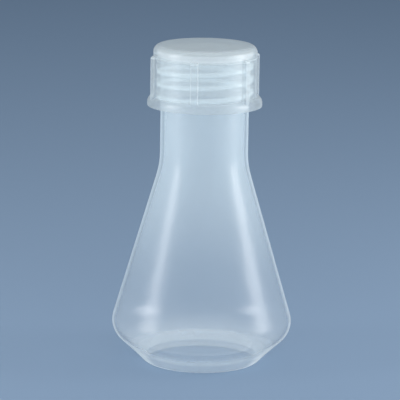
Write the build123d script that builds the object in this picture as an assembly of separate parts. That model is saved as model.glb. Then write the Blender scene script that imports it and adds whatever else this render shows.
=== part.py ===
from build123d import *
import os
from math import cos, radians, sin

# A small conical laboratory flask in natural polypropylene with a ribbed screw cap.
# Millimetres, +Z up, origin on the bench plane at the centre of the standing ring.

# --- flask: outside profile --------------------------------------------------
FOOT_RADIUS = 18.9          # where the foot's side would meet the bench, before rounding
FOOT_EDGE_ROUND = 3.0
FOOT_TOP_RADIUS = 22.7      # crease between the foot and the tapered base
FOOT_TOP_Z = 3.8
FOOT_CREASE_ROUND = 2.2
BELLY_RADIUS = 31.15        # where taper and cone would meet, before rounding
BELLY_Z = 11.6
BELLY_ROUND = 7.5           # leaves a largest diameter of 60.2
NECK_RADIUS = 14.7
NECK_START_Z = 67.4         # where cone and neck would meet, before rounding
NECK_FILLET = 27.0
LIP_Z = 103.8
LIP_ROUND = 0.35

# --- flask: inside profile ---------------------------------------------------
BORE_RADIUS = 13.4
BORE_START_Z = 67.7
BORE_FILLET = 28.0
INNER_BELLY_RADIUS = 29.8
INNER_BELLY_Z = 12.05
INNER_BELLY_ROUND = 6.35
GROOVE_RADIUS = 17.7        # bottom of the groove round the raised floor
GROOVE_Z = 1.8
GROOVE_ROUND = 0.5
FLOOR_RADIUS = 17.2
FLOOR_Z = 6.3
FLOOR_EDGE_ROUND = 0.9

# --- flask: recess under the floor -------------------------------------------
RECESS_RADIUS = 16.3        # at the bench
RECESS_TOP_RADIUS = 15.8
RECESS_Z = 5.1
RECESS_ROUND = 1.0
RING_EDGE_ROUND = 0.3

# --- thread, shared by neck and cap ------------------------------------------
PITCH = 4.3
NECK_CREST_RADIUS = 16.0
CAP_CREST_RADIUS = 15.05
CREST_WIDTH = 0.85
FLANK_SPREAD = 0.5          # a ridge's half-width gained for each millimetre of depth
RIDGE_ROOTING = 0.35        # how far a ridge's foot is sunk into its wall
RIDGE_OFFSET = 1.5          # cap ridge lies this far below the neck ridge above it
FIRST_RIDGE_Z = 91.0        # neck ridge's middle, on the front (-Y) side
FRONT_TURN = -0.25          # the front side, in turns from +X
NECK_TURNS = (-0.35, 2.55)  # start and end of the neck ridge, in turns from the front
CAP_TURNS = (0.0, 2.85)
RUN_OUT_TURNS = 0.14        # length of the fading at each end of a ridge
SECTIONS_PER_TURN = 16

# --- sealing disc ------------------------------------------------------------
DISC_RADIUS = 15.8
DISC_THICKNESS = 2.0
DISC_EDGE_ROUND = 0.3

# --- screw cap ---------------------------------------------------------------
CAP_BOTTOM_Z = 87.3
CAP_TOP_Z = 107.6
CAP_RADIUS = 17.3
CAP_BORE_RADIUS = 16.3
CAP_SHOULDER_ROUND = 2.4
CEILING_GAP = 0.1           # between the disc and the ceiling above it
CEILING_EDGE_ROUND = 0.5
MOUTH_CHAMFER = 0.4
FLANGE_RADIUS = 19.15
FLANGE_BAND = 1.05          # upright rim of the flange
FLANGE_HEIGHT = 3.3
FLANGE_EDGE_ROUND = 0.15
RIB_COUNT = 6
FIRST_RIB_ANGLE = -101.5
RIB_OUTER_RADIUS = 18.8
RIB_WIDTH = 2.4
RIB_TOP_BELOW_CAP_TOP = 3.2
RIB_TOP_ROUND = 1.1
RIB_EDGE_ROUND = 0.45
RIB_ROOT_RADIUS = 16.9


def ring_section(corners):
    """Half cross-section in the XZ plane from (radius, height, rounding) corners."""
    points = [(radius, height) for radius, height, _ in corners]
    section = make_face(Polyline(*points, close=True))
    for radius, height, rounding in corners:
        if rounding:
            corner = section.vertices().sort_by_distance((radius, height, 0))[0]
            section = fillet(corner, rounding)
    return Plane.XZ * section


def ridge_section(turn, root, crest, middle_z):
    """Trapezium across a ridge, standing in the plane through the axis at this turn."""
    out = 1 if crest > root else -1
    foot = root - out * RIDGE_ROOTING
    half_crest = CREST_WIDTH / 2
    half_foot = half_crest + FLANK_SPREAD * abs(crest - foot)
    middle = middle_z + PITCH * turn
    angle = radians(360 * (turn + FRONT_TURN))
    corners = [
        (foot, middle - half_foot),
        (crest, middle - half_crest),
        (crest, middle + half_crest),
        (foot, middle + half_foot),
    ]
    points = [(radius * cos(angle), radius * sin(angle), z) for radius, z in corners]
    return make_face(Polyline(*points, close=True))


def thread_ridge(root, crest, turns, middle_z):
    """Helical ridge that fades into its wall at both ends."""
    start, end = turns
    steps = round((end - start) * SECTIONS_PER_TURN)
    faded = root + (root - crest) / abs(root - crest) * RIDGE_ROOTING / 3
    sections = []
    for step in range(steps + 1):
        turn = start + (end - start) * step / steps
        fade = min(1, (turn - start) / RUN_OUT_TURNS, (end - turn) / RUN_OUT_TURNS)
        height = faded + (crest - faded) * fade
        sections.append(ridge_section(turn, root, height, middle_z))
    return loft(sections)


def make_flask():
    outside = [
        (FOOT_RADIUS, 0, FOOT_EDGE_ROUND),
        (FOOT_TOP_RADIUS, FOOT_TOP_Z, FOOT_CREASE_ROUND),
        (BELLY_RADIUS, BELLY_Z, BELLY_ROUND),
        (NECK_RADIUS, NECK_START_Z, NECK_FILLET),
        (NECK_RADIUS, LIP_Z, LIP_ROUND),
    ]
    inside = [
        (BORE_RADIUS, LIP_Z, LIP_ROUND),
        (BORE_RADIUS, BORE_START_Z, BORE_FILLET),
        (INNER_BELLY_RADIUS, INNER_BELLY_Z, INNER_BELLY_ROUND),
        (GROOVE_RADIUS, GROOVE_Z, GROOVE_ROUND),
        (FLOOR_RADIUS, FLOOR_Z, FLOOR_EDGE_ROUND),
        (0, FLOOR_Z, 0),
    ]
    underside = [
        (0, RECESS_Z, 0),
        (RECESS_TOP_RADIUS, RECESS_Z, RECESS_ROUND),
        (RECESS_RADIUS, 0, RING_EDGE_ROUND),
    ]
    shell = revolve(ring_section(outside + inside + underside), Axis.Z)
    ridge = thread_ridge(NECK_RADIUS, NECK_CREST_RADIUS, NECK_TURNS, FIRST_RIDGE_Z)
    return shell + ridge


def make_sealing_disc():
    disc = Cylinder(DISC_RADIUS, DISC_THICKNESS, align=(Align.CENTER, Align.CENTER, Align.MIN))
    return Pos(0, 0, LIP_Z) * fillet(disc.edges().filter_by(GeomType.CIRCLE), DISC_EDGE_ROUND)


def cap_shell():
    """Cap without ribs or thread: flange, wall, shoulder and top."""
    ceiling_z = LIP_Z + DISC_THICKNESS + CEILING_GAP
    band_top = CAP_BOTTOM_Z + FLANGE_BAND
    flange_top = CAP_BOTTOM_Z + FLANGE_HEIGHT
    step = FLANGE_RADIUS - CAP_RADIUS
    corners = [
        (CAP_BORE_RADIUS + MOUTH_CHAMFER, CAP_BOTTOM_Z, 0),
        (FLANGE_RADIUS, CAP_BOTTOM_Z, FLANGE_EDGE_ROUND),
        (FLANGE_RADIUS, band_top, 0),
        (CAP_RADIUS, band_top, 0),
        (CAP_RADIUS, CAP_TOP_Z, CAP_SHOULDER_ROUND),
        (0, CAP_TOP_Z, 0),
        (0, ceiling_z, 0),
        (CAP_BORE_RADIUS, ceiling_z, CEILING_EDGE_ROUND),
        (CAP_BORE_RADIUS, CAP_BOTTOM_Z + MOUTH_CHAMFER, 0),
    ]
    quarter = EllipticalCenterArc((CAP_RADIUS, band_top), step, flange_top - band_top, arc_size=90)
    sides = Polyline((CAP_RADIUS, flange_top), (CAP_RADIUS, band_top), (FLANGE_RADIUS, band_top))
    rounded_top = Plane.XZ * make_face(quarter + sides)
    return revolve(ring_section(corners), Axis.Z) + revolve(rounded_top, Axis.Z)


def cap_rib():
    """One upright grip rib on the +X side, standing on the flange."""
    top = CAP_TOP_Z - RIB_TOP_BELOW_CAP_TOP
    height = top - CAP_BOTTOM_Z - FLANGE_BAND / 2
    depth = RIB_OUTER_RADIUS - RIB_ROOT_RADIUS
    bar = Box(depth, RIB_WIDTH, height, align=(Align.MIN, Align.CENTER, Align.MAX))
    outer_face = bar.faces().sort_by(Axis.X)[-1]
    bar = fillet(outer_face.edges().sort_by(Axis.Z)[-1], RIB_TOP_ROUND)
    uprights = bar.edges().filter_by(Axis.Z).group_by(Axis.X)[-1]
    bar = fillet(uprights, RIB_EDGE_ROUND)
    return Pos(RIB_ROOT_RADIUS, 0, top) * bar


def make_cap():
    cap = cap_shell()
    rib = cap_rib()
    for index in range(RIB_COUNT):
        cap += Rot(0, 0, FIRST_RIB_ANGLE + index * 360 / RIB_COUNT) * rib
    ridge_z = FIRST_RIDGE_Z - RIDGE_OFFSET
    return cap + thread_ridge(CAP_BORE_RADIUS, CAP_CREST_RADIUS, CAP_TURNS, ridge_z)


os.makedirs("parts", exist_ok=True)
export_step(make_flask(), "parts/flask_body.step")
export_step(make_sealing_disc(), "parts/sealing_disc.step")
export_step(make_cap(), "parts/screw_cap.step")
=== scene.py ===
# %% [markdown]
# # A small plastic Erlenmeyer flask
#
# The flask is made of natural polypropylene, a plastic that lets light through but is never quite clear. A
# screw cap of the same plastic covers its neck. All the shapes come from the engineering model, so this
# lesson is about two things: making cloudy plastic look right, and lighting it.

# %% Load the engineering model
import math

import bpy
import numpy as np
from mathutils import Matrix, Vector


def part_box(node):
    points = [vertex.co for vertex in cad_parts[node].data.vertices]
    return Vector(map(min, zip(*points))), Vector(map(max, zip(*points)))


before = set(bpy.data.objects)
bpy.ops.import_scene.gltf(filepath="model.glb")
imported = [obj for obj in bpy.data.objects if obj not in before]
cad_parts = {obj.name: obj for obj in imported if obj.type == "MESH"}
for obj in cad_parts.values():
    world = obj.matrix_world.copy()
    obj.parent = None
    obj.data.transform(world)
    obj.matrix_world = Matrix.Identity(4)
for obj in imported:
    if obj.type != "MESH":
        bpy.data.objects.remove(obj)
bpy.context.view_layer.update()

for name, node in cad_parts.items():
    low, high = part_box(name)
    size = [round(1000 * (b - a), 1) for a, b in zip(low, high)]
    print(f"{name}: {size} mm, {len(node.data.polygons)} triangles")

# %% [markdown]
# ## The camera
#
# A bottle looks truest from far away through a long lens, because its sides then stay straight. The camera
# looks down a little, which opens the top of the cap into a flat ellipse. A camera can be placed by hand in
# the viewport, but here it is worked out from four plain facts: what it looks at, from how far, how
# steeply, and how much it leans. That way each of them can be corrected alone.

# %% Place the camera
AIM = Vector((-0.0011, 0.0, 0.0550))
DISTANCE = 1.005
LOOK_DOWN = math.radians(11.68)
LEAN = math.radians(0.85)
FIELD_WIDTH = 0.1339     # width of the view at the flask
SENSOR_WIDTH = 36.0      # millimetres

forward = Vector((0.0, math.cos(LOOK_DOWN), -math.sin(LOOK_DOWN)))
camera_data = bpy.data.cameras.new("camera")
camera_data.sensor_width = SENSOR_WIDTH
camera_data.lens = SENSOR_WIDTH * DISTANCE / FIELD_WIDTH
camera_data.clip_end = 50.0
camera = bpy.data.objects.new("camera", camera_data)
bpy.context.scene.collection.objects.link(camera)
turn = forward.to_track_quat("-Z", "Y").to_matrix().to_4x4() @ Matrix.Rotation(LEAN, 4, "Z")
camera.matrix_world = Matrix.Translation(AIM - forward * DISTANCE) @ turn
bpy.context.scene.camera = camera
print(f"camera: {camera_data.lens:.0f} mm lens, {DISTANCE} m away")

# %% [markdown]
# ## Helpers for materials
#
# A material is a small graph of nodes. It could be drawn by hand in the shader editor, but a graph in code
# can be read and repeated. A few helpers keep it short: one adds a node and fills in its sockets, others do
# one step of arithmetic or carry a value from one range to another. What is a node's output is linked, the
# rest is typed in.

# %% Node helpers
def add_node(tree, kind, inputs=None, **settings):
    """A new node of a kind, with settings as attributes and inputs by socket name or number."""
    node = tree.nodes.new(kind)
    for key, value in settings.items():
        setattr(node, key, value)
    for key, value in (inputs or {}).items():
        if isinstance(value, bpy.types.NodeSocket):
            tree.links.new(value, node.inputs[key])
        else:
            node.inputs[key].default_value = value
    return node


def calc(tree, operation, a, b=0.0, c=0.0, clamp=False):
    """One Math node: the result of an operation on up to three numbers or sockets."""
    node = add_node(tree, "ShaderNodeMath", {0: a, 1: b, 2: c}, operation=operation, use_clamp=clamp)
    return node.outputs[0]


def ramp(tree, value, low, high, to_low=0.0, to_high=1.0):
    """Carries a value smoothly from one range to another."""
    node = add_node(
        tree, "ShaderNodeMapRange", {0: value, 1: low, 2: high, 3: to_low, 4: to_high},
        interpolation_type="SMOOTHSTEP",
    )
    return node.outputs[0]


print("node helpers ready")

# %% [markdown]
# ## Helpers for places
#
# Nearly every effect here changes with the height or with the distance from the flask's upright axis, so
# these two get helpers of their own. The flask could be unwrapped and painted instead, but it is round, and
# a height and a radius already say where a point is.

# %% Place helpers
LEVEL = (1.0, 1.0, 0.0)


def height_of(tree, place):
    """Height above the table, or the upright share of a direction."""
    return add_node(tree, "ShaderNodeSeparateXYZ", {0: place}).outputs["Z"]


def flattened(tree, place):
    """The way from the upright axis to the place, level."""
    return add_node(tree, "ShaderNodeVectorMath", {0: place, 1: LEVEL}, operation="MULTIPLY").outputs[0]


def radius_of(tree, place):
    """Distance from the upright axis."""
    level = flattened(tree, place)
    return add_node(tree, "ShaderNodeVectorMath", {0: level}, operation="LENGTH").outputs["Value"]


def blend_colours(tree, share, first, second):
    """The first colour where the share is 0, the second where it is 1."""
    sides = {0: share, 6: (*first, 1.0), 7: (*second, 1.0)}
    return add_node(tree, "ShaderNodeMix", sides, data_type="RGBA").outputs[2]


print("place helpers ready")

# %% [markdown]
# ## Helpers for groups
#
# An effect that more than one material uses is built once, as a group, and placed in each with its own
# values. Copying the nodes into every material would work too, but then a correction has to be made in each
# copy.

# %% Group helpers
def new_group(name, inputs, outputs):
    """An empty group with a vector called Place, float inputs {name: default}, and outputs {name: type}."""
    tree = bpy.data.node_groups.new(name, "ShaderNodeTree")
    tree.interface.new_socket("Place", in_out="INPUT", socket_type="NodeSocketVector")
    for key, value in inputs.items():
        socket = tree.interface.new_socket(key, in_out="INPUT", socket_type="NodeSocketFloat")
        socket.default_value = value
    for key, kind in outputs.items():
        tree.interface.new_socket(key, in_out="OUTPUT", socket_type=kind)
    return tree, tree.nodes.new("NodeGroupInput").outputs, tree.nodes.new("NodeGroupOutput").inputs


def place_group(tree, group, inputs):
    """Puts a group into a material and returns its outputs."""
    return add_node(tree, "ShaderNodeGroup", inputs, node_tree=group).outputs


print("group helpers ready")

# %% [markdown]
# ## Moulded skin
#
# A plastic bottle copies its mould, and then shrinks as it cools. Close up, the skin has a slow unevenness
# about a centimetre across and a much finer orange-peel grain. Both could be sculpted, but they are so
# shallow that a height worked out from two noises is enough. The group gives only a height, in units of the
# Bump node's distance. Each material feeds it to its own Bump node.

# %% Build the moulded skin group
RIPPLE_SCALE, GRAIN_SCALE = 110.0, 1500.0       # lumps in a metre


def moulded_skin():
    """Height = ripple x slow noise + grain x fine noise, both of the place on the object."""
    tree, given, wanted = new_group(
        "moulded skin", {"Ripple": 1.0, "Grain": 1.0}, {"Height": "NodeSocketFloat"}
    )
    place = given["Place"]
    slow = add_node(tree, "ShaderNodeTexNoise", {"Vector": place, "Scale": RIPPLE_SCALE, "Detail": 1.5})
    fine = add_node(tree, "ShaderNodeTexNoise", {"Vector": place, "Scale": GRAIN_SCALE, "Detail": 2.0})
    slow_height = calc(tree, "MULTIPLY", slow.outputs["Fac"], given["Ripple"])
    height = calc(tree, "MULTIPLY_ADD", fine.outputs["Fac"], given["Grain"], slow_height)
    tree.links.new(height, wanted["Height"])
    return tree


skin_group = moulded_skin()
print("group:", skin_group.name)

# %% [markdown]
# ## Cloudiness
#
# Polypropylene crystallises into tiny grains as it sets, which is why it is milky. Where it cooled more
# slowly, or flowed more, the milk is a little thicker. A soft noise stretched along the flask's height
# gives that drift. The group's output is a factor round 1 that multiplies a skin's haze.

# %% Build the cloudiness group
DRIFT_SCALE, FLECK_SCALE = 95.0, 900.0          # lumps in a metre
FLECK_SHARE = 0.4                               # strength of the fleck beside the drift
UPRIGHT_STRETCH = (1.0, 1.0, 0.35)


def cloudiness():
    """Factor = 1 + amount x (slow drift + faint fleck), with the drift stretched upright."""
    tree, given, wanted = new_group("cloudiness", {"Amount": 0.2}, {"Factor": "NodeSocketFloat"})
    place = given["Place"]
    stretched = add_node(
        tree, "ShaderNodeVectorMath", {0: place, 1: UPRIGHT_STRETCH}, operation="MULTIPLY"
    ).outputs[0]
    drift = add_node(tree, "ShaderNodeTexNoise", {"Vector": stretched, "Scale": DRIFT_SCALE, "Detail": 3.0})
    fleck = add_node(tree, "ShaderNodeTexNoise", {"Vector": place, "Scale": FLECK_SCALE, "Detail": 1.0})
    both = calc(tree, "MULTIPLY_ADD", fleck.outputs["Fac"], FLECK_SHARE, drift.outputs["Fac"])
    centred = calc(tree, "SUBTRACT", both, 0.5 + 0.5 * FLECK_SHARE)
    doubled = calc(tree, "MULTIPLY", centred, 2.0)
    tree.links.new(calc(tree, "MULTIPLY_ADD", doubled, given["Amount"], 1.0), wanted["Factor"])
    return tree


cloud_group = cloudiness()
print("group:", cloud_group.name)

# %% [markdown]
# ## Scuffs
#
# Labware is washed, stacked and slid over benches, and soft plastic takes fine scratches. They could be
# painted, but a noise stretched very long in one direction already looks like scratches. Two such noises
# lie across each other, cut off so that only their peaks remain, and a third, patchy one lets them show in
# some places and not in others.

# %% Build the scuffs group
SCRATCH_SCALE = (260.0, 260.0, 3500.0)          # long across, thin upright
SCRATCH_PEAK = (0.62, 0.78)                     # noise values between which a scratch begins
SCRATCH_WAYS = ((0.5, 3.1), (-0.7, 8.4))        # how far each noise leans, and a shift that makes them differ
PATCH_SCALE = 160.0
PATCH_SHOWS = (0.4, 0.62)


def scuffs():
    """Mask = the peaks of two long, thin noises that lie across each other, x a patchy noise, x wear."""
    tree, given, wanted = new_group("scuffs", {"Wear": 0.5}, {"Mask": "NodeSocketFloat"})
    place = given["Place"]
    masks = []
    for lean, shift in SCRATCH_WAYS:
        turned = add_node(
            tree, "ShaderNodeVectorRotate", {"Vector": place, "Angle": lean}, rotation_type="Y_AXIS"
        ).outputs[0]
        thin = add_node(
            tree, "ShaderNodeVectorMath", {0: turned, 1: SCRATCH_SCALE}, operation="MULTIPLY"
        ).outputs[0]
        shifted = add_node(tree, "ShaderNodeVectorMath", {0: thin, 1: (shift, shift, shift)}).outputs[0]
        lines = add_node(tree, "ShaderNodeTexNoise", {"Vector": shifted, "Scale": 1.0, "Detail": 1.0})
        masks.append(ramp(tree, lines.outputs["Fac"], *SCRATCH_PEAK))
    patchy = add_node(tree, "ShaderNodeTexNoise", {"Vector": place, "Scale": PATCH_SCALE, "Detail": 2.0})
    both = calc(tree, "MAXIMUM", *masks)
    shown = calc(tree, "MULTIPLY", both, ramp(tree, patchy.outputs["Fac"], *PATCH_SHOWS))
    tree.links.new(calc(tree, "MULTIPLY", shown, given["Wear"], clamp=True), wanted["Mask"])
    return tree


scuff_group = scuffs()
print("group:", scuff_group.name)

# %% [markdown]
# ## Cloudy plastic
#
# How much a wall hides depends on how milky it is and on how long the light's way through it is. The
# plastic could be done as true glass with scattering inside it, but that takes thousands of samples to come
# out clean. Instead each skin is a film: part of it is a hole, part scatters light forwards and back, and a
# thin gloss lies over both. The wall has an outer and an inner skin, and one looks through a near wall and
# a far wall, so the films lie behind each other and build up depth by themselves.
#
# Some skins need to be told apart first. Inner ones get little gloss and no outline, because each wall
# would otherwise be drawn twice. The raised floor in the base counts as an inner skin too. Blender turns
# the Normal round where a skin is seen from behind, so it is turned back before it is asked which way it
# looks.

# %% Find the inner skins
FLOOR_RIM = (0.0178, 0.0184)        # radii between which the raised floor gives way to the rest
FLOOR_CEILING = (0.008, 0.009)      # heights between which it does
LOOKS_INWARDS = -0.0005             # radius x outward share of the direction, below which a skin is inner


def raised_floor(tree, place):
    """1 on the raised floor in the middle of the base, on its sides and in the recess below, else 0."""
    near_axis = ramp(tree, radius_of(tree, place), *FLOOR_RIM, 1.0, 0.0)
    low_down = ramp(tree, height_of(tree, place), *FLOOR_CEILING, 1.0, 0.0)
    return calc(tree, "MULTIPLY", near_axis, low_down)


def seen_from_behind(tree):
    """1 where the back of the skin is seen, else 0."""
    return add_node(tree, "ShaderNodeNewGeometry").outputs["Backfacing"]


def facing(tree):
    """1 where the skin's own outward side is seen, -1 where its back is."""
    return calc(tree, "MULTIPLY_ADD", seen_from_behind(tree), -2.0, 1.0)


def inner_skin(tree, place):
    """1 where the skin's own outward side looks at the axis, and on the raised floor, else 0."""
    normal = add_node(tree, "ShaderNodeTexCoord").outputs["Normal"]
    outward = add_node(
        tree, "ShaderNodeVectorMath", {0: normal, 1: flattened(tree, place)}, operation="DOT_PRODUCT"
    ).outputs["Value"]
    own_side = calc(tree, "MULTIPLY", outward, facing(tree))
    inwards = calc(tree, "LESS_THAN", own_side, LOOKS_INWARDS)
    return calc(tree, "MAXIMUM", inwards, raised_floor(tree, place))


print("inner skins: raised floor inside a radius of", FLOOR_RIM[0], "m")

# %% [markdown]
# ## Soft shading of small relief
#
# Light that enters milky plastic comes out a little way off, so ribs and fillets shade almost like the wall
# that they stand on. Subsurface scattering would do this, but not through a film with holes in it. Here the
# direction by which the milk is lit is turned part of the way to straight out from the axis. The gloss
# keeps the true direction.

# %% Blur the shading of small relief
LOOKS_UP = (0.90, 1.0)              # upright share of the direction, between which the turning stops


def softened(tree, place, inner, softness):
    """The skin's direction, turned part of the way to straight outwards where it is upright and outer."""
    normal = add_node(tree, "ShaderNodeTexCoord").outputs["Normal"]
    outwards = add_node(
        tree, "ShaderNodeVectorMath", {0: flattened(tree, place)}, operation="NORMALIZE"
    ).outputs[0]
    own_side = add_node(
        tree, "ShaderNodeVectorMath", {0: outwards, "Scale": facing(tree)}, operation="SCALE"
    ).outputs[0]
    upwards = calc(tree, "ABSOLUTE", height_of(tree, normal))
    upright = calc(
        tree, "MULTIPLY", ramp(tree, upwards, *LOOKS_UP, 1.0, 0.0), calc(tree, "SUBTRACT", 1.0, inner)
    )
    mix = add_node(
        tree, "ShaderNodeMix", {0: calc(tree, "MULTIPLY", upright, softness), 4: normal, 5: own_side},
        data_type="VECTOR",
    )
    return add_node(
        tree, "ShaderNodeVectorTransform", {0: mix.outputs[1]},
        vector_type="NORMAL", convert_from="OBJECT", convert_to="WORLD",
    ).outputs[0]


print("soft shading ready")

# %% [markdown]
# ## How much a film hides
#
# A slanting ray bends as it enters the plastic, so its way through the wall is never much more than a third
# longer than straight through. Only near the outline does the light run along inside the wall, and that
# makes the thin bright line round a plastic bottle. The line is as wide as the wall is thick, so it is
# wider on the neck than on the belly. Layer Weight tells how squarely a surface is seen, and both effects
# follow from it.

# %% Work out the hidden share
REFRACTION = 1.49                   # polypropylene's
LINE_START = 0.12                   # how squarely the skin is seen where the line begins to fade
LINE_END = (0.31, 0.41)             # and where it is gone, on the belly and on the neck
WALL_THICKENS = (0.02, 0.07)        # heights between which one gives way to the other


def hidden_share(tree, place, inner, haze, outline, square):
    """1 - (1 - haze) to the power of the way's length, plus the outline on outer skins seen from outside."""
    sine_squared = calc(tree, "SUBTRACT", 1.0, calc(tree, "MULTIPLY", square, square))
    bent = calc(tree, "SQRT", calc(tree, "MULTIPLY_ADD", sine_squared, -1.0 / REFRACTION**2, 1.0))
    way = calc(tree, "DIVIDE", 1.0, bent)
    let_through = calc(tree, "POWER", calc(tree, "SUBTRACT", 1.0, haze), way)
    end = ramp(tree, height_of(tree, place), *WALL_THICKENS, *LINE_END)
    in_front = calc(tree, "SUBTRACT", 1.0, seen_from_behind(tree))
    outside = calc(tree, "MULTIPLY", calc(tree, "SUBTRACT", 1.0, inner), in_front)
    line = calc(tree, "MULTIPLY", ramp(tree, square, LINE_START, end, outline, 0.0), outside)
    return calc(tree, "SUBTRACT", calc(tree, "ADD", line, 1.0), let_through, clamp=True)


longest_way = (1.0 - 1.0 / REFRACTION**2) ** -0.5
print(f"longest way through a wall: {longest_way:.2f} times its thickness")

# %% [markdown]
# ## The film itself
#
# The milk is a matt shader that sends light back, mixed with a translucent one that sends it on. Lamp rays
# are stopped only half as much as sight is, because milky plastic scatters most light forwards, and a rib's
# shadow would otherwise be hard and dark. The gloss grows towards the outline, as on every smooth surface.

# %% Define the film material
SENT_ON = 0.45                      # share of the milk's light that goes on instead of back
LAMP_RELIEF = -0.5                  # change of the hidden share for rays from lamps
EDGE_GLOSS = 0.6                    # gloss added at the outline
EDGE_SHARPNESS = 5.0
INNER_DULLING = -0.9                # change of the gloss on inner skins


def film_material(name, haze, colour, roughness, shine, height, bump, outline=0.62, softness=0.5):
    """Gloss over a film. Haze, colour, roughness and height are functions that return a node's output."""
    material = bpy.data.materials.new(name)
    material.use_nodes = True
    tree = material.node_tree
    tree.nodes.clear()
    place = add_node(tree, "ShaderNodeTexCoord").outputs["Object"]
    inner = inner_skin(tree, place)
    away = add_node(tree, "ShaderNodeLayerWeight", {"Blend": 0.5}).outputs["Facing"]
    square = calc(tree, "SUBTRACT", 1.0, away)

    blurred = softened(tree, place, inner, softness)
    milk = add_node(
        tree, "ShaderNodeBsdfPrincipled",
        {"Base Color": colour(tree, place), "Roughness": roughness(tree, place), "Normal": blurred,
         "IOR": REFRACTION, "Specular IOR Level": 0.0},
    ).outputs[0]
    glow = add_node(
        tree, "ShaderNodeBsdfTranslucent", {"Color": colour(tree, place), "Normal": blurred}
    ).outputs[0]
    scatter = add_node(tree, "ShaderNodeMixShader", {0: SENT_ON, 1: milk, 2: glow}).outputs[0]

    hidden = hidden_share(tree, place, inner, haze(tree, place, inner), outline, square)
    from_lamp = add_node(tree, "ShaderNodeLightPath").outputs["Is Shadow Ray"]
    stopped = calc(tree, "MULTIPLY", hidden, calc(tree, "MULTIPLY_ADD", from_lamp, LAMP_RELIEF, 1.0))
    hole = add_node(tree, "ShaderNodeBsdfTransparent").outputs[0]
    film = add_node(tree, "ShaderNodeMixShader", {0: stopped, 1: hole, 2: scatter}).outputs[0]

    relief = add_node(
        tree, "ShaderNodeBump", {"Height": height(tree, place), "Strength": 1.0, "Distance": bump}
    ).outputs[0]
    gloss = add_node(
        tree, "ShaderNodeBsdfGlossy", {"Roughness": roughness(tree, place), "Normal": relief}
    ).outputs[0]
    mirrored = calc(tree, "MULTIPLY_ADD", calc(tree, "POWER", away, EDGE_SHARPNESS), EDGE_GLOSS, shine)
    kept = calc(tree, "MULTIPLY_ADD", inner, INNER_DULLING, 1.0)
    share = calc(tree, "MULTIPLY", mirrored, kept, clamp=True)
    surface = add_node(tree, "ShaderNodeMixShader", {0: share, 1: film, 2: gloss}).outputs[0]
    add_node(tree, "ShaderNodeOutputMaterial", {"Surface": surface})
    return material


print("film material ready")

# %% [markdown]
# ## The flask's milkiness
#
# Flasks like this are blown: air presses a tube of soft plastic out against a mould. The neck hardly
# stretches and stays thick, the cone stretches more and more towards the belly and ends up thin and clear,
# and the base is thicker again. Thickness could be measured from the mesh, but a curve drawn over the
# height is easier to correct. The recess under the raised floor is left clear, because too many
# skins lie behind each other there.

# %% Work out the flask's haze
FLASK_HAZE = [  # height in millimetres, haze of one skin
    (0.0, 0.26), (1.5, 0.24), (4.7, 0.21), (5.5, 0.13), (7.0, 0.10), (9.0, 0.055), (16.0, 0.045),
    (26.0, 0.045), (38.0, 0.075), (50.0, 0.12), (60.0, 0.15), (72.0, 0.17), (86.0, 0.175), (88.0, 0.08),
    (104.0, 0.08),
]
HAZE_SPAN = 104.0                   # millimetres that the curve covers
FLOOR_TOP = (0.0054, 0.0058)        # heights between which the recess gives way to the floor's top
FLOOR_CHANGE = (-1.0, 0.1)          # change of the haze below and above it
THREAD_FOOT = (0.0149, 0.0157)      # radii between which the neck gives way to its thread
THREAD_START = (0.085, 0.087)       # heights between which the thread is let in
THREAD_HAZE = 0.52
FLASK_CLOUD = 0.15
SCUFF_HAZE = 0.02                   # what a scratch adds, on the flask and on the cap


def curve_of(tree, value, span, points):
    """Straight lines through (value, result) points, for values from 0 to span."""
    share = calc(tree, "DIVIDE", value, span)
    node = add_node(tree, "ShaderNodeFloatCurve", {"Factor": 1.0, "Value": share})
    knots = node.mapping.curves[0].points
    while len(knots) < len(points):
        knots.new(0.5, 0.5)
    for knot, (at, result) in zip(knots, points):
        knot.location = (at / span, result)
        knot.handle_type = "VECTOR"
    node.mapping.update()
    return node.outputs[0]


def scratched(tree, place, wear):
    """The scuffs group's mask, times wear."""
    return place_group(tree, scuff_group, {"Place": place, "Wear": wear})["Mask"]


def flask_haze(tree, place, inner):
    """Curve over the height x cloudiness x the raised floor's share, plus the thick thread and scuffs."""
    height = height_of(tree, place)
    by_height = curve_of(tree, calc(tree, "MULTIPLY", height, 1000.0), HAZE_SPAN, FLASK_HAZE)
    cloud = place_group(tree, cloud_group, {"Place": place, "Amount": FLASK_CLOUD})["Factor"]
    change = ramp(tree, height, *FLOOR_TOP, *FLOOR_CHANGE)
    floor_share = calc(tree, "MULTIPLY_ADD", raised_floor(tree, place), change, 1.0)
    wall = calc(tree, "MULTIPLY", calc(tree, "MULTIPLY", by_height, cloud), floor_share)
    far_out = ramp(tree, radius_of(tree, place), *THREAD_FOOT)
    on_thread = calc(tree, "MULTIPLY", far_out, ramp(tree, height, *THREAD_START))
    with_thread = calc(tree, "MULTIPLY_ADD", on_thread, THREAD_HAZE, wall)
    return calc(tree, "ADD", with_thread, scratched(tree, place, SCUFF_HAZE), clamp=True)


print("flask's haze:", len(FLASK_HAZE), "points")

# %% [markdown]
# ## The flask's surface
#
# The belly and the neck have a cool tint. Near the foot the plastic is paler, partly because it is thick
# there and partly as painted light thrown up from the table. Where the two halves of the mould met, a
# ridge finer than a hair runs up each side. Such a ridge could be part of the mesh, but it would need very
# small triangles, so it is a bump.

# %% Make the flask's plastic
# The paler foot tint is partly the thick plastic and partly painted light thrown up from the table.
PALE_BELOW = 0.03                   # height at which the paler tint has gone
FLASK_FOOT_PALE_AND_LIT, FLASK_ABOVE = (0.94, 0.99, 0.98), (0.85, 0.95, 0.98)
FLASK_ROUGHNESS = 0.28
SCUFF_DULLING = 0.06                # what a scratch adds to the roughness, on the flask and on the cap
SEAM_SIDE = (0.00005, 0.00022)      # distances from the middle between which the ridge falls away
SEAM_RISE = 0.35
BUMP_HEIGHT = 0.00025               # height of a bump of 1


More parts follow.
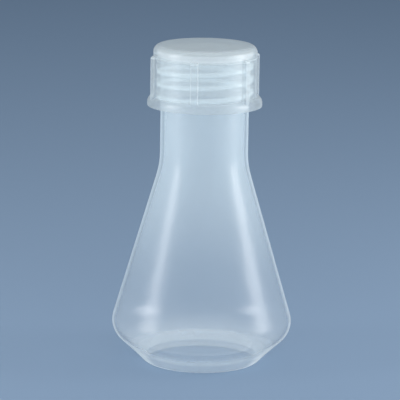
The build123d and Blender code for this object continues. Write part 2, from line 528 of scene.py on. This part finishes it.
def flask_colour(tree, place):
    """Cool white, paler near the foot: partly thick plastic, partly painted light from the table below."""
    share = ramp(tree, height_of(tree, place), 0.0, PALE_BELOW)
    return blend_colours(tree, share, FLASK_FOOT_PALE_AND_LIT, FLASK_ABOVE)


def flask_roughness(tree, place):
    """Satin, duller where scuffed."""
    return calc(tree, "MULTIPLY_ADD", scratched(tree, place, 1.0), SCUFF_DULLING, FLASK_ROUGHNESS)


def flask_height(tree, place):
    """Moulded skin plus the ridge where the mould's two halves met, on the left and right sides."""
    skin = place_group(tree, skin_group, {"Place": place, "Ripple": 1.0, "Grain": 0.06})["Height"]
    depth = add_node(tree, "ShaderNodeSeparateXYZ", {0: place}).outputs["Y"]
    seam = ramp(tree, calc(tree, "ABSOLUTE", depth), *SEAM_SIDE, SEAM_RISE, 0.0)
    return calc(tree, "ADD", skin, seam)


flask_plastic = film_material(
    "flask_plastic", flask_haze, flask_colour, flask_roughness,
    shine=0.04, height=flask_height, bump=BUMP_HEIGHT,
)
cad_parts["flask_body"].material_slots[0].material = flask_plastic
print("flask plastic:", len(flask_plastic.node_tree.nodes), "nodes")

# %% [markdown]
# ## The cap's milkiness
#
# The cap is injected into a closed steel mould, so its wall is even, and it is noticeably whiter than the
# flask's. A whiter ring runs round it at the level of the sealing disc. What makes it inside the cap isn't
# modelled, so it is drawn into the haze, as a narrow step up and down over the height. The shoulder gets
# more haze than the wall, as painted light where the rounding catches the lamps, and the top gets less, as
# painted shade, so that it reads darker.

# %% Work out the cap's haze
CAP_CLOUD = 0.12
# The shoulder's extra haze is painted light: a lighter band where the rounding catches the lamps.
WALL_HAZE, SHOULDER_HAZE_LIT = 0.30, 0.36
SHOULDER_START = (0.1030, 0.1045)   # heights between which the wall gives way to the shoulder
TOP_START = (0.1066, 0.1074)        # and the shoulder to the top
# The top's lower haze is painted shade: less milk, so the top reads darker.
TOP_PAINTED_SHADE = 0.12
RING_RISE, RING_FALL = (0.1033, 0.1036), (0.1038, 0.1041)
RING_HAZE = 0.35
INNER_CLEARING = -0.5               # change of the haze on inner skins


def cap_haze(tree, place, inner):
    """(Wall or lighter shoulder + ring - clearer top) x cloudiness, halved on inner skins, plus scuffs; the
    lighter shoulder is painted light, the clearer, darker top painted shade.
    """
    height = height_of(tree, place)
    cloud = place_group(tree, cloud_group, {"Place": place, "Amount": CAP_CLOUD})["Factor"]
    wall = ramp(tree, height, *SHOULDER_START, WALL_HAZE, SHOULDER_HAZE_LIT)
    rise = ramp(tree, height, *RING_RISE)
    ring = calc(tree, "MULTIPLY", rise, ramp(tree, height, *RING_FALL, RING_HAZE, 0.0))
    # Painted shade: the top is made clearer so that it reads darker.
    top_shade = ramp(tree, height, *TOP_START, 0.0, TOP_PAINTED_SHADE)
    even = calc(tree, "SUBTRACT", calc(tree, "ADD", wall, ring), top_shade)
    cloudy = calc(tree, "MULTIPLY", even, cloud)
    milky = calc(tree, "MULTIPLY", cloudy, calc(tree, "MULTIPLY_ADD", inner, INNER_CLEARING, 1.0))
    return calc(tree, "ADD", milky, scratched(tree, place, SCUFF_HAZE), clamp=True)


print(f"cap's haze: {WALL_HAZE} on the wall, {SHOULDER_HAZE_LIT} at the shoulder")

# %% [markdown]
# ## The cap's surface
#
# Fingers dull the ribs. In the middle of the top sits the mark of the gate, the hole through which the
# plastic came in: a shallow dimple with a nub. It could be modelled, but at a fraction of a millimetre deep
# a bump is enough.

# %% Make the cap's plastic
CAP_DARK, CAP_LIGHT = (0.69, 0.75, 0.76), (0.73, 0.78, 0.78)
TINT_SCALE = 60.0
RIB_FOOT = (0.0174, 0.0180)         # radii between which the wall gives way to a rib
RIB_START = (0.0905, 0.0915)        # heights between which the flange gives way to it
CAP_ROUGHNESS, RIB_DULLING = 0.3, 0.3
GATE_DIMPLE, DIMPLE_RISE = (0.0014, 0.0018), -0.5       # radii between which it ends, and its height
GATE_NUB, NUB_RISE = (0.0003, 0.0006), 0.6


def cap_colour(tree, place):
    """Cool white with a very slow drift."""
    drift = add_node(tree, "ShaderNodeTexNoise", {"Vector": place, "Scale": TINT_SCALE, "Detail": 1.0})
    return blend_colours(tree, drift.outputs["Fac"], CAP_DARK, CAP_LIGHT)


def cap_roughness(tree, place):
    """Satin, duller on the ribs, which fingers rub, and where scuffed."""
    far_out = ramp(tree, radius_of(tree, place), *RIB_FOOT)
    on_rib = calc(tree, "MULTIPLY", far_out, ramp(tree, height_of(tree, place), *RIB_START))
    rubbed = calc(tree, "MULTIPLY_ADD", on_rib, RIB_DULLING, CAP_ROUGHNESS)
    return calc(tree, "MULTIPLY_ADD", scratched(tree, place, 1.0), SCUFF_DULLING, rubbed)


def cap_height(tree, place):
    """Moulded skin plus the gate mark: a shallow round dimple with a nub in its middle."""
    skin = place_group(tree, skin_group, {"Place": place, "Ripple": 0.5, "Grain": 0.05})["Height"]
    out = radius_of(tree, place)
    dimple = ramp(tree, out, *GATE_DIMPLE, DIMPLE_RISE, 0.0)
    nub = ramp(tree, out, *GATE_NUB, NUB_RISE, 0.0)
    return calc(tree, "ADD", skin, calc(tree, "ADD", dimple, nub))


cap_plastic = film_material(
    "cap_plastic", cap_haze, cap_colour, cap_roughness,
    shine=0.045, height=cap_height, bump=BUMP_HEIGHT, outline=0.3, softness=0.3,
)
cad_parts["screw_cap"].material_slots[0].material = cap_plastic
print("cap plastic:", len(cap_plastic.node_tree.nodes), "nodes")

# %% [markdown]
# ## The sealing disc
#
# A disc punched from foamed sheet lies loose under the top of the cap. It is duller than the cap, its face
# is pitted by the foam's cells, and its cut edge is white. The cells could be modelled, but thousands of
# pits less than half a millimetre across are better left to a Voronoi texture, and the middle of each pit
# is painted a little darker, as painted shade.

# %% Make the disc's foam
# The face's low haze is partly the foam's own milkiness and partly painted shade, so that the cap's top reads
# darker.
FACE_HAZE_WITH_SHADE, FACE_CLOUD = 0.17, 0.25
CUT_EDGE = (0.0154, 0.0157)         # radii between which the face gives way to the cut edge
LOWER_CORNER = (0.1039, 0.1043)     # heights between which its lower corner gives way to the rest
CUT_HAZE = (0.98, 0.45)             # haze of the lower corner and of the rest
CELL_SCALE, CELL_DEPTH = 2600.0, 0.00006
PIT_ENDS = 0.6                      # share of a cell's width at which its wall begins
# Painted shade: the pit colour is darker, standing in for the shade inside the pits.
FOAM_PIT_SHADED, FOAM_WALL = (0.84, 0.87, 0.88), (0.92, 0.94, 0.95)
FOAM_ROUGHNESS, DULLER, DULLER_SCALE = 0.5, 0.15, 400.0


def disc_haze(tree, place, inner):
    """The greater of face haze x cloudiness and the cut edge's haze. All skins are alike. The low face haze
    is partly painted shade that darkens the cap's top.
    """
    cloud = place_group(tree, cloud_group, {"Place": place, "Amount": FACE_CLOUD})["Factor"]
    cut = ramp(tree, height_of(tree, place), *LOWER_CORNER, *CUT_HAZE)
    at_edge = calc(tree, "MULTIPLY", ramp(tree, radius_of(tree, place), *CUT_EDGE), cut)
    return calc(tree, "MAXIMUM", calc(tree, "MULTIPLY", cloud, FACE_HAZE_WITH_SHADE), at_edge, clamp=True)


def foam_cells(tree, place):
    """Distance from the middle of the nearest cell."""
    cells = add_node(tree, "ShaderNodeTexVoronoi", {"Vector": place, "Scale": CELL_SCALE})
    return cells.outputs["Distance"]


def disc_colour(tree, place):
    """White, with painted shade a little darker in the middle of each cell, where its pit is deepest."""
    share = ramp(tree, foam_cells(tree, place), 0.0, PIT_ENDS)
    return blend_colours(tree, share, FOAM_PIT_SHADED, FOAM_WALL)


def disc_roughness(tree, place):
    """Dull, with a little change from place to place."""
    drift = add_node(tree, "ShaderNodeTexNoise", {"Vector": place, "Scale": DULLER_SCALE})
    return calc(tree, "MULTIPLY_ADD", drift.outputs["Fac"], DULLER, FOAM_ROUGHNESS)


disc_foam = film_material(
    "disc_foam", disc_haze, disc_colour, disc_roughness,
    shine=0.03, height=foam_cells, bump=CELL_DEPTH,
)
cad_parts["sealing_disc"].material_slots[0].material = disc_foam
print("disc foam:", len(disc_foam.node_tree.nodes), "nodes")

# %% [markdown]
# ## The table
#
# Cloudy plastic shows up only against something a little darker and cooler than itself, so it stands on a
# pale blue-grey sheet. A plane would do, but its edge would show in a low view. This sheet is a height
# field over a grid, flat in the middle and rising far away on every side, like a shallow dish.

# %% Make the table
def dish(half_width, flat_radius, rise, count):
    """Grid: height = rise x t squared, where t grows from 0 at the flat radius to 1 at the half width."""
    along = np.linspace(-half_width, half_width, count)
    x, y = np.meshgrid(along, along)
    t = np.clip((np.hypot(x, y) - flat_radius) / (half_width - flat_radius), 0.0, None)
    corners = np.stack([x, y, rise * t**2], axis=-1).reshape(-1, 3)
    row, column = np.meshgrid(np.arange(count - 1), np.arange(count - 1), indexing="ij")
    start = (row * count + column).ravel()
    faces = np.stack([start, start + 1, start + count + 1, start + count], axis=-1)
    return corners, faces


corners, faces = dish(half_width=8.0, flat_radius=5.0, rise=1.0, count=81)
table_mesh = bpy.data.meshes.new("table")
table_mesh.from_pydata(corners.tolist(), [], faces.tolist())
table_mesh.polygons.foreach_set("use_smooth", np.ones(len(faces), dtype=bool))
table = bpy.data.objects.new("table", table_mesh)
bpy.context.scene.collection.objects.link(table)

print("table:", len(faces), "faces")

# %% [markdown]
# ## The table's paper
#
# Matt paper needs no pattern here, because the camera is too far away to see its grain.

# %% Make the table's paper
PAPER_COLOUR = (0.23, 0.315, 0.43, 1.0)

table_paper = bpy.data.materials.new("table_paper")
table_paper.use_nodes = True
paper = table_paper.node_tree.nodes["Principled BSDF"]
paper.inputs["Base Color"].default_value = PAPER_COLOUR
paper.inputs["Roughness"].default_value = 0.9
paper.inputs["Specular IOR Level"].default_value = 0.1
table_mesh.materials.append(table_paper)
print("table's material:", table_paper.name)

# %% [markdown]
# ## Studio light
#
# Two soft boxes stand left and right of the flask. Each is mirrored in the cone as a soft upright streak,
# and where the cone turns under at the belly the streak ends in a brighter spot. The right box is wider and
# stronger. A broad box far in front fills the shadows and is kept out of reflections, because it would show
# as a smear across the neck. A large box overhead lights the table and the top of the cap. Sun lamps would
# be simpler, but they make hard, tiny highlights.

# %% Place the lights
def soft_box(name, place, look_at, width, height, power, mirrored=True):
    """A rectangular light that faces a point. It may be kept out of reflections."""
    data = bpy.data.lights.new(name, "AREA")
    data.shape = "RECTANGLE"
    data.size = width
    data.size_y = height
    data.energy = power
    lamp = bpy.data.objects.new(name, data)
    bpy.context.scene.collection.objects.link(lamp)
    aim = Vector(look_at) - Vector(place)
    lamp.matrix_world = Matrix.Translation(place) @ aim.to_track_quat("-Z", "Y").to_matrix().to_4x4()
    lamp.visible_camera = False
    lamp.visible_glossy = mirrored
    return lamp


BELLY = (0.0, 0.0, 0.05)            # what the side and front boxes face
soft_box("right_box", (0.62, -0.06, 0.24), BELLY, width=0.24, height=0.50, power=3.1)
soft_box("left_box", (-0.60, -0.20, 0.26), BELLY, width=0.20, height=0.50, power=2.3)
soft_box("front_box", (0.20, -1.75, 0.34), BELLY, width=1.8, height=0.5, power=29.0, mirrored=False)
soft_box("top_box", (0.0, 0.1, 1.3), (0.0, 0.0, 0.0), width=1.2, height=1.2, power=5.5)

print("lights:", len(bpy.data.lights))

# %% [markdown]
# ## The sky
#
# The rest of the room is one even, pale blue. A whole room could be built round the flask instead, but the
# plastic is too dull to show it.

# %% Fill in the sky
SKY_COLOUR, SKY_STRENGTH = (0.55, 0.68, 0.82, 1.0), 0.36

world = bpy.data.worlds.new("studio")
bpy.context.scene.world = world
world.use_nodes = True
sky = world.node_tree.nodes["Background"]
sky.inputs["Color"].default_value = SKY_COLOUR
sky.inputs["Strength"].default_value = SKY_STRENGTH
print("sky strength:", SKY_STRENGTH)

# %% [markdown]
# ## Seeing through many films
#
# A line of sight through the cap crosses the cap, the neck and both again on the far side. Blender stops
# after a few clear surfaces unless it is told to go on. The Standard view keeps pale tones pale.

# %% Let light through
CLEAR_SURFACES = 48                 # that one line of sight may cross

bpy.context.scene.cycles.transparent_max_bounces = CLEAR_SURFACES
bpy.context.scene.view_settings.view_transform = "Standard"
print("clear surfaces that a line of sight may cross:", CLEAR_SURFACES)
